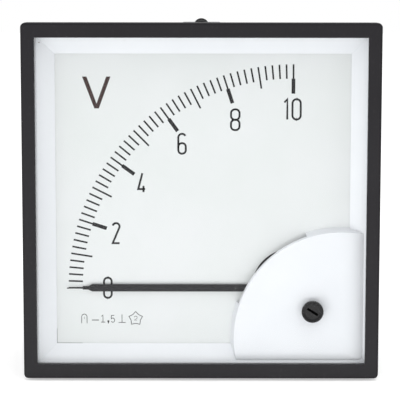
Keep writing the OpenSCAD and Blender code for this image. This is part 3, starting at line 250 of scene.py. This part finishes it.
M["glass"] = glass_material("window_glass")
M["sign"] = surface("unit_ink", (0.045, 0.024, 0.022), (0.062, 0.036, 0.034), (0.55, 0.7), patch=0.002,
                    grain=0.00012, depth=0.000002, level=0.2)
M["dark_steel"] = surface("blackened_steel", (0.020, 0.020, 0.022), (0.045, 0.044, 0.046), (0.3, 0.42),
                          metal=0.7, patch=0.004, grain=0.0002, depth=0.000003)
# near-black matt material for the painted shade at the bottom of the adjuster's slot
M["soot"] = surface("slot_painted_shade", (0.001, 0.001, 0.001), (0.002, 0.002, 0.002), (0.8, 0.9), level=0.0)
M["dust"] = surface("dust", (0.30, 0.29, 0.28), (0.46, 0.45, 0.43), (0.8, 0.95), patch=0.001, level=0.1)

WEARS = {
    "bezel": "bezel", "front_glass": "glass", "scale_mask": "mask", "quadrant_cover": "white",
    "dial_plate": "dial", "scale_marks": "ink", "dial_screws": "steel", "zero_screw": "adjuster",
    "zero_screw_clip": "steel", "zero_lever": "brass", "front_bridge": "alloy",
    "front_bridge_pillars": "brass", "front_bridge_screws": "steel", "front_jewel_screw": "brass",
    "front_lock_nut": "brass", "jewels": "jewel", "front_spring": "brass", "pointer": "pointer",
    "balance_cross": "alloy", "balance_weights": "brass", "front_staff": "steel",
    "rear_staff": "steel", "coil_former": "alloy", "coil_winding": "copper",
    "core_magnet": "magnet", "core_holders": "alloy", "yoke_ring": "iron", "rear_spring": "brass",
    "rear_spring_stud": "brass", "rear_bridge": "alloy", "rear_bridge_pillars": "brass",
    "rear_bridge_screws": "steel", "rear_jewel_screw": "brass", "rear_lock_nut": "brass",
    "movement_carrier": "carrier", "carrier_screws": "steel", "resistor_board": "board",
    "series_resistor": "resistor", "board_nuts": "brass", "lead_wires": "wire",
    "housing": "case", "terminal_studs": "brass", "terminal_nuts": "brass",
    "terminal_washers": "brass", "spring_washers": "zinc", "clamp_brackets": "zinc",
    "clamp_pad_top": "rubber", "clamp_pad_bottom": "rubber", "clamp_screw_top": "dark_steel",
    "clamp_screw_bottom": "dark_steel",
}
for name, obj in nodes.items():
    mat = M[WEARS[name]]
    if obj.material_slots:
        for s in obj.material_slots:
            s.material = mat
    else:
        obj.data.materials.append(mat)


# ---------- meshes ----------

def finish_piece(name, bm, mat, body, smooth=None):
    """Turns a bmesh into a piece that rides on a body."""
    bmesh.ops.recalc_face_normals(bm, faces=bm.faces)
    mesh = bpy.data.meshes.new(name)
    bm.to_mesh(mesh)
    bm.free()
    mesh.materials.append(mat)
    obj = bpy.data.objects.new(name, mesh)
    scene.collection.objects.link(obj)
    if smooth is not None:
        mesh.shade_smooth()
        mesh.set_sharp_from_angle(angle=math.radians(smooth))
    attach(obj, body)
    return obj


def slab(bm, outline, y0, y1):
    """A closed flat outline of (x, z) points made solid between two depths."""
    front = [bm.verts.new((x, y0, z)) for x, z in outline]
    back = [bm.verts.new((x, y1, z)) for x, z in outline]
    bm.faces.new(front)
    bm.faces.new(back[::-1])
    n = len(outline)
    for i in range(n):
        j = (i + 1) % n
        bm.faces.new((front[i], back[i], back[j], front[j]))


def slab_strip(bm, left, right, y0, y1):
    """Solid between two edges that run side by side, as quads."""
    lf, rf, lb, rb = [[bm.verts.new((v.x, y, v.y)) for v in side]
                      for y in (y0, y1) for side in (left, right)]
    n = len(left)
    for i in range(n - 1):
        bm.faces.new((lf[i], lf[i + 1], rf[i + 1], rf[i]))
        bm.faces.new((rb[i], rb[i + 1], lb[i + 1], lb[i]))
        bm.faces.new((lb[i], lb[i + 1], lf[i + 1], lf[i]))
        bm.faces.new((rf[i], rf[i + 1], rb[i + 1], rb[i]))
    bm.faces.new((lf[0], rf[0], rb[0], lb[0]))
    bm.faces.new((lf[-1], lb[-1], rb[-1], rf[-1]))


def ribbon(bm, path, width, y0, y1, closed=False):
    """A line of the given width along a path of (x, z) points, with mitred corners, made solid."""
    pts = [Vector(p) for p in path]
    n = len(pts)
    left, right = [], []
    for i, p in enumerate(pts):
        ahead = pts[(i + 1) % n] - p if closed or i < n - 1 else p - pts[i - 1]
        behind = p - pts[i - 1] if closed or i > 0 else ahead
        ahead, behind = ahead.normalized(), behind.normalized()
        normal = Vector((-(ahead + behind).y, (ahead + behind).x)).normalized()
        across = normal * (width / 2) / max(0.5, normal.dot(Vector((-ahead.y, ahead.x))))
        left.append(p + across)
        right.append(p - across)
    if closed:
        rings = [[bm.verts.new((v.x, y, v.y)) for v in side] for y in (y0, y1) for side in (left, right)]
        lf, rf, lb, rb = rings
        for i in range(n):
            j = (i + 1) % n
            bm.faces.new((lf[i], lf[j], rf[j], rf[i]))
            bm.faces.new((rb[i], rb[j], lb[j], lb[i]))
            bm.faces.new((lb[i], lb[j], lf[j], lf[i]))
            bm.faces.new((rf[i], rf[j], rb[j], rb[i]))
    else:
        slab_strip(bm, left, right, y0, y1)


def arc(cx, cz, rx, rz, a0, a1, steps=10):
    """Points on an ellipse from angle a0 to a1, in degrees counted from the right upwards."""
    return [(cx + rx * math.cos(math.radians(a0 + (a1 - a0) * k / steps)),
             cz + rz * math.sin(math.radians(a0 + (a1 - a0) * k / steps))) for k in range(steps + 1)]


# ---------- print on the dial ----------

INK_T = 0.02 * MM
DIGIT_STROKE = 0.54


def stadium(x0, x1, z0, z1, r):
    """Points round a box with corners of radius r."""
    return (arc(x1 - r, z1 - r, r, r, 0, 90) + arc(x0 + r, z1 - r, r, r, 90, 180)
            + arc(x0 + r, z0 + r, r, r, 180, 270) + arc(x1 - r, z0 + r, r, r, 270, 360))


def glyph(name, w, h):
    """Strokes of a narrow upright figure, w wide and h high between the middles of its lines:
    (points, closed) pairs."""
    r = w / 2
    if name == "0":
        return [(stadium(0, w, 0, h, r), True)]
    if name == "1":
        return [([(0, h - 0.16 * h), (w, h), (w, 0)], False)]
    if name == "2":
        hook = arc(r, h - r, r, r, 165, -32, 14)
        return [(hook + [(0, 0), (w, 0)], False)]
    if name == "4":
        return [([(0.6 * w, h), (0, 0.16 * h), (w, 0.16 * h)], False),
                ([(0.76 * w, 0.33 * h), (0.76 * w, 0)], False)]
    if name == "5":
        return [([(0.9 * w, h), (0.12 * w, h), (0.06 * w, 0.56 * h)]
                 + arc(r, 0.31 * h, r, 0.31 * h, 140, -150, 14), False)]
    if name == "6":
        return [(arc(r, h - r, r, r, 28, 180) + [(0, r)], False),
                (stadium(0, w, 0, 0.53 * h, r * 0.96), True)]
    if name == "8":
        return [(stadium(0, w, 0.5 * h, h, r * 0.92), True), (stadium(0, w, 0, 0.5 * h, r * 0.92), True)]
    raise ValueError(name)


def write_glyph(bm, name, x0, z_top, x1, z_bottom, stroke):
    """Draws a figure into the box that its outer edges fill, in millimetres."""
    w, h = x1 - x0 - stroke, z_top - z_bottom - stroke
    for pts, closed in glyph(name, w, h):
        pts = [((x0 + stroke / 2 + x) * MM, (z_bottom + stroke / 2 + z) * MM) for x, z in pts]
        ribbon(bm, pts, stroke * MM, Y_DIAL - INK_T, Y_DIAL, closed)


# each figure with the left, top, right and bottom of its box
FIGURES = [
    ("0", -26.82, -21.18, -24.19, -27.31), ("2", -24.37, -6.13, -21.96, -12.18),
    ("4", -17.38, 7.54, -14.96, 1.83), ("6", -6.50, 18.24, -3.94, 12.32),
    ("8", 7.74, 24.87, 10.58, 18.73), ("1", 22.13, 27.62, 23.46, 21.61),
    ("0", 24.32, 27.63, 27.08, 21.61),
]
bm = bmesh.new()
for name, x0, z1, x1, z0 in FIGURES:
    write_glyph(bm, name, x0, z1, x1, z0, DIGIT_STROKE)
finish_piece("dial_figures", bm, M["ink"], "case")

# the unit, a bold V
bm = bmesh.new()
unit_x, unit_z, unit_w, unit_h = -32.14, 24.83, 7.65, 8.59
outline = [(0, 1), (0.155, 1), (0.505, 0.15), (0.85, 1), (1, 1), (0.585, 0), (0.425, 0)]
slab(bm, [((unit_x + u * unit_w) * MM, (unit_z + v * unit_h) * MM) for u, v in outline],
     Y_DIAL - INK_T, Y_DIAL)
bmesh.ops.triangulate(bm, faces=[f for f in bm.faces if len(f.verts) > 4])
finish_piece("dial_unit", bm, M["sign"], "case")

# class signs: moving coil, direct current, accuracy class, upright use, test voltage
FINE = 0.17
bm = bmesh.new()


def fine_line(path, closed=False, width=FINE):
    ribbon(bm, [(x * MM, z * MM) for x, z in path], width * MM, Y_DIAL - INK_T, Y_DIAL, closed)


coil_x0, coil_x1, coil_z0, coil_z1 = -32.72, -31.26, -34.10, -31.57
coil_r = (coil_x1 - coil_x0) / 2
fine_line([(coil_x0, coil_z0)] + arc(coil_x0 + coil_r, coil_z1 - coil_r, coil_r, coil_r, 180, 0)
          + [(coil_x1, coil_z0)])
fine_line([(coil_x0 + coil_r, coil_z1 - 0.75), (coil_x0 + coil_r, coil_z1 - 1.3)], width=0.1)
fine_line([(-29.91, -33.21), (-28.02, -33.21)], width=0.22)
one_x, one_z0, one_z1 = -26.89, -33.79, -31.84
fine_line([(one_x - 0.4, one_z1 - 0.35), (one_x, one_z1), (one_x, one_z0)])
fine_line([(-27.42, one_z0), (-26.30, one_z0)])
write_glyph(bm, "5", -24.78, -31.84, -23.61, -33.90, FINE)
base_z = -33.87
fine_line([(-22.63, base_z), (-20.68, base_z)])
fine_line([(-21.68, base_z), (-21.68, -31.64)])
star_x, star_z = -17.92, -32.78
star_point, star_valley = 1.95, 1.35
star = []
for k in range(10):
    r = star_point if k % 2 == 0 else star_valley
    a = math.radians(90 - 36 * k)
    star.append((star_x + r * math.cos(a), star_z + r * math.sin(a)))
fine_line(star, True)
write_glyph(bm, "2", star_x - 0.46, star_z + 0.72, star_x + 0.46, star_z - 0.5, 0.12)
# decimal comma
comma_x, comma_z = -25.42, -33.54
dot = 0.24
comma = [(-dot, dot), (dot, dot), (dot, -dot), (0.0, -0.66), (-0.16, -0.6), (-0.02, -dot), (-dot, -dot)]
slab(bm, [((comma_x + x) * MM, (comma_z + z) * MM) for x, z in comma], Y_DIAL - INK_T, Y_DIAL)
finish_piece("dial_class_signs", bm, M["ink"], "case")


# scale: heavier lines in place of the CAD node's. These are evenly spaced, and the node's are not.
PIVOT_X, PIVOT_Z = 24.5, -24.1
PRINT_SHIFT_X, PRINT_SHIFT_Z = 0.3, -0.15
SCALE_R, TICK_L, MID_TICK_L, BOLD_TICK_L = 61.0, 3.85, 5.85, 4.05
TICK_W, BOLD_W = 0.46, 1
DIVISIONS, MAJOR_EVERY, MID_EVERY = 50, 10, 5


def scale_line(bm, step, r0, r1, width):
    """One line of the scale, from 0 at the left to full scale at the top."""
    a = math.radians(180 - 90 * step / DIVISIONS)
    x, z = PIVOT_X + PRINT_SHIFT_X, PIVOT_Z + PRINT_SHIFT_Z
    ends = [((x + r * math.cos(a)) * MM, (z + r * math.sin(a)) * MM) for r in (r0, r1)]
    ribbon(bm, ends, width * MM, Y_DIAL - INK_T, Y_DIAL)


bm = bmesh.new()
for step in range(DIVISIONS + 1):
    major, mid = step % MAJOR_EVERY == 0, step % MID_EVERY == 0
    scale_line(bm, step, SCALE_R - (MID_TICK_L if mid and not major else TICK_L), SCALE_R, TICK_W)
    if major:
        scale_line(bm, step, SCALE_R - TICK_L - BOLD_TICK_L, SCALE_R - TICK_L, BOLD_W)
scale = finish_piece("printed_scale", bm, M["ink"], "case")
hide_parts("scale_marks")

# black ring round the dial's cut-out: painted shade for the dark crescent that shows beside the cover
bm = bmesh.new()
HOLE_R, HOLE_EDGE, HOLE_STEPS = 10.3, 0.34, 96
edge_r = HOLE_R + HOLE_EDGE / 2
edge = arc(PIVOT_X, PIVOT_Z, edge_r, edge_r, 0, 360 - 360 / HOLE_STEPS, HOLE_STEPS - 1)
ribbon(bm, [(x * MM, z * MM) for x, z in edge], HOLE_EDGE * MM, Y_DIAL - INK_T, Y_DIAL, True)
finish_piece("cut_out_painted_shade", bm, M["ink"], "case")

# a thin black line at the lower left of the dial: painted shade for the gap between the dial and the
# mask
bm = bmesh.new()
EDGE_L, EDGE_B, EDGE_W = -39.47, -39.58, 0.09
corner = [(EDGE_L, -35.6), (EDGE_L, EDGE_B), (-32.5, EDGE_B)]
ribbon(bm, [(x * MM, z * MM) for x, z in corner], EDGE_W * MM, Y_DIAL - INK_T, Y_DIAL)
finish_piece("dial_gap_painted_shade", bm, M["ink"], "case")

# painted shade: a black block at the bottom of the zero adjuster's slot
ADJUSTER_X, ADJUSTER_Z, SLOT_ANGLE = 30.1, -29.7, math.radians(-32)
adjuster_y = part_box("zero_screw")[0][1] / MM
bm = bmesh.new()
SLOT_L, SLOT_W, SLOT_TOP, SLOT_BOTTOM = 3.3, 0.65, 0.4, 0.85
half_l, half_w = SLOT_L / 2, SLOT_W / 2
corners = [(-half_l, -half_w), (half_l, -half_w), (half_l, half_w), (-half_l, half_w)]
slab(bm, [((ADJUSTER_X + u * math.cos(SLOT_ANGLE) - v * math.sin(SLOT_ANGLE)) * MM,
           (ADJUSTER_Z + u * math.sin(SLOT_ANGLE) + v * math.cos(SLOT_ANGLE)) * MM) for u, v in corners],
     (adjuster_y + SLOT_TOP) * MM, (adjuster_y + SLOT_BOTTOM) * MM)
finish_piece("slot_shadow", bm, M["soot"], "zero_adjuster")

# specks of dust on the glass: place and radius
Y_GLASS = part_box("front_glass")[0][1]
SPECK_T = 0.03
SPECKS = [
    (-43.1, 42.7, 0.22), (-8.6, 11.1, 0.12), (-20.5, 43.2, 0.1), (9.3, -23.4, 0.14),
    (3.5, 26.3, 0.08), (-30.5, -37.2, 0.09), (32.3, 18.8, 0.08),
]
bm = bmesh.new()
for x, z, r in SPECKS:
    ring = arc(x, z, r, r * 0.7, 0, 315, 7)
    slab(bm, [(u * MM, v * MM) for u, v in ring], Y_GLASS - SPECK_T * MM, Y_GLASS)
finish_piece("glass_dust", bm, M["dust"], "case")


# ---------- threads ----------

def threaded_rod(bm, x, z, y0, y1, r, depth, pitch, sides=20, per_turn=5, lead=0.5):
    """A rod along Y whose surface winds as a screw thread, with a chamfer at both ends."""
    rows = max(2, int((y1 - y0) / pitch * per_turn))
    grid = []
    for i in range(rows + 1):
        y = y0 + (y1 - y0) * i / rows
        cap = r - max(0.0, lead - min(y - y0, y1 - y))
        ring = []
        for k in range(sides):
            turn = (y / pitch - k / sides) % 1.0
            here = min(r - depth * abs(2 * turn - 1), cap)
            a = 2 * math.pi * k / sides
            point = (x + here * math.cos(a), y, z + here * math.sin(a))
            ring.append(bm.verts.new([c * MM for c in point]))
        grid.append(ring)
    for i in range(rows):
        for k in range(sides):
            j = (k + 1) % sides
            bm.faces.new((grid[i][k], grid[i][j], grid[i + 1][j], grid[i + 1][k]))
    bm.faces.new(grid[0])
    bm.faces.new(grid[-1][::-1])


def prism(bm, x, z, r, sides, y0, y1):
    """An upright bar along Y with the given number of sides."""
    ring = arc(x, z, r, r, 0, 360 - 360 / sides, sides - 1)
    slab(bm, [(u * MM, v * MM) for u, v in ring], y0 * MM, y1 * MM)


STUD_X, STUD_Z, STUD_R = 19.0, 12.0, 2.0
STUD_THREAD_DEPTH, STUD_PITCH = 0.36, 0.7
STUD_FLANGE_R = 7 / math.sqrt(3) + 0.5
STUD_FLANGE_Y = (48.2, 51.2)                 # between the board and the rear wall
stud_low, stud_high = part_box("terminal_studs")
bm = bmesh.new()
for side in (-1, 1):
    threaded_rod(bm, side * STUD_X, STUD_Z, stud_low[1] / MM, stud_high[1] / MM, STUD_R,
                 STUD_THREAD_DEPTH, STUD_PITCH)
    prism(bm, side * STUD_X, STUD_Z, STUD_FLANGE_R, 6, *STUD_FLANGE_Y)
studs = finish_piece("threaded_studs", bm, M["brass"], "case", smooth=40)
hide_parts("terminal_studs")

CLAMP_AXIS, CLAMP_R, CLAMP_THREAD_DEPTH, CLAMP_PITCH = 46.1, 1.5, 0.27, 0.5
head_r, head_t, slot_d, slot_w, head_root = 2.3, 2.2, 1.0, 0.8, 0.3
for end, sign in (("top", 1), ("bottom", -1)):
    low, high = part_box("clamp_screw_" + end)
    axis_z = CLAMP_AXIS * sign
    y_tip, y_end = low[1] / MM, high[1] / MM
    bm = bmesh.new()
    threaded_rod(bm, 0, axis_z, y_tip, y_end - head_t + head_root, CLAMP_R, CLAMP_THREAD_DEPTH,
                 CLAMP_PITCH, sides=18, per_turn=4)
    prism(bm, 0, axis_z, head_r, 40, y_end - head_t, y_end - slot_d)
    half = math.degrees(math.asin(slot_w / 2 / head_r))
    for a0, a1 in ((half, 180 - half), (180 + half, 360 - half)):
        rim = [(x * MM, (axis_z + z) * MM) for x, z in arc(0, 0, head_r, head_r, a0, a1, 20)]
        slab(bm, rim, (y_end - slot_d) * MM, y_end * MM)
    screw = finish_piece("threaded_screw_" + end, bm, M["dark_steel"], end + "_screw",
                         smooth=40)
    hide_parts("clamp_screw_" + end)


# ---------- polarity signs moulded beside the terminals ----------

SIGN_RISE, BAR_L, BAR_W, SIGN_ROOT, SIGN_T = 11.5, 2.2, 0.45, 0.1, 0.25
CORNERS = ((-1, -1), (1, -1), (1, 1), (-1, 1))
bm = bmesh.new()
for x, plus in ((STUD_X, True), (-STUD_X, False)):
    bars = [(BAR_L, BAR_W)] + ([(BAR_W, BAR_L)] if plus else [])
    for bw, bh in bars:
        bar = [(x + sx * bw, STUD_Z + SIGN_RISE + sz * bh) for sx, sz in CORNERS]
        slab(bm, [(u * MM, v * MM) for u, v in bar], Y_REAR - SIGN_ROOT * MM, Y_REAR + SIGN_T * MM)
finish_piece("polarity_signs", bm, M["case"], "case")


# ---------- stage ----------

FLOOR_GLOW = 0.45


def floor_material():
    """Pale floor: white to the eye, and it keeps the object's soft shadow."""
    mat, tree = new_material("stage_floor")
    out = node(tree, "ShaderNodeOutputMaterial")
    matt = node(tree, "ShaderNodeBsdfDiffuse", Color=(0.86, 0.86, 0.86, 1.0))
    glow = node(tree, "ShaderNodeEmission", Color=(1.0, 1.0, 1.0, 1.0))
    path = node(tree, "ShaderNodeLightPath")
    seen = node(tree, "ShaderNodeMath", operation="MAXIMUM")
    link(tree, path.outputs["Is Camera Ray"], seen.inputs[0])
    link(tree, path.outputs["Is Glossy Ray"], seen.inputs[1])
    level = node(tree, "ShaderNodeMath", operation="MULTIPLY")
    link(tree, seen.outputs[0], level.inputs[0])
    level.inputs[1].default_value = FLOOR_GLOW
    link(tree, level.outputs[0], glow.inputs["Strength"])
    both = node(tree, "ShaderNodeAddShader")
    link(tree, matt.outputs[0], both.inputs[0])
    link(tree, glow.outputs[0], both.inputs[1])
    link(tree, both.outputs[0], out.inputs["Surface"])
    return mat


bm = bmesh.new()
bmesh.ops.create_grid(bm, x_segments=1, y_segments=1, size=4.0)
mesh = bpy.data.meshes.new("stage_floor")
bm.to_mesh(mesh)
bm.free()
floor = bpy.data.objects.new("stage_floor", mesh)
floor.location = (0, 0, FLOOR_Z)
mesh.materials.append(floor_material())
scene.collection.objects.link(floor)
floor.visible_shadow = False

world = bpy.data.worlds.new("studio")
scene.world = world
world.use_nodes = True
tree = world.node_tree
tree.nodes.clear()
out = node(tree, "ShaderNodeOutputWorld")
back = node(tree, "ShaderNodeBackground", Color=(1.0, 1.0, 1.0, 1.0))
path = node(tree, "ShaderNodeLightPath")
seen = node(tree, "ShaderNodeMath", operation="MAXIMUM")
link(tree, path.outputs["Is Camera Ray"], seen.inputs[0])
link(tree, path.outputs["Is Transmission Ray"], seen.inputs[1])
AMBIENT = 0.90
link(tree, ramp(tree, seen.outputs[0], 0.0, 1.0, AMBIENT, 1.0), back.inputs["Strength"])
link(tree, back.outputs[0], out.inputs["Surface"])


def area_light(name, place, size, power):
    """A soft lamp that faces the frame's origin."""
    lamp = bpy.data.lights.new(name, "AREA")
    lamp.shape = "RECTANGLE"
    lamp.size, lamp.size_y = size
    lamp.energy = power
    obj = bpy.data.objects.new(name, lamp)
    obj.location = place
    way = Vector((0, 0, 0)) - Vector(place)
    obj.rotation_euler = way.to_track_quat("-Z", "Y").to_euler()
    scene.collection.objects.link(obj)


area_light("key", (-0.62, -0.85, -0.42), (0.5, 0.5), 2.0)
area_light("low_front", (0.0, -0.85, -0.23), (0.9, 0.12), 1.9)
area_light("top", (0.1, -0.2, 1.1), (0.7, 0.7), 2.4)

scene.view_settings.view_transform = "Standard"


# ---------- camera ----------

CAMERA_FAR = 0.450           # from the front of the bezel
CAMERA_PITCH = 7.0           # degrees above the dial's axis
CAMERA_ROLL = -0.06
CAMERA_SIDE = -0.34 * MM
CAMERA_RISE = 0.81 * MM
CAMERA_LENS = 151.4

pitch, roll = math.radians(CAMERA_PITCH), math.radians(CAMERA_ROLL)
behind = Vector((0, -math.cos(pitch), math.sin(pitch)))
above = Vector((0, math.sin(pitch), math.cos(pitch)))
right = Vector((1, 0, 0))
x_axis = right * math.cos(roll) - above * math.sin(roll)
z_axis = right * math.sin(roll) + above * math.cos(roll)
camera = bpy.data.objects.new("camera", bpy.data.cameras.new("camera"))
camera.data.lens = CAMERA_LENS
camera.data.sensor_width = 36.0
camera.data.clip_start = 0.01
camera.data.clip_end = 50.0
place = Vector((0, Y_BEZEL, 0)) + CAMERA_SIDE * x_axis + CAMERA_RISE * z_axis + CAMERA_FAR * behind
camera.matrix_world = Matrix((
    (x_axis.x, z_axis.x, behind.x, place.x),
    (x_axis.y, z_axis.y, behind.y, place.y),
    (x_axis.z, z_axis.z, behind.z, place.z),
    (0, 0, 0, 1)))
scene.collection.objects.link(camera)
scene.camera = camera
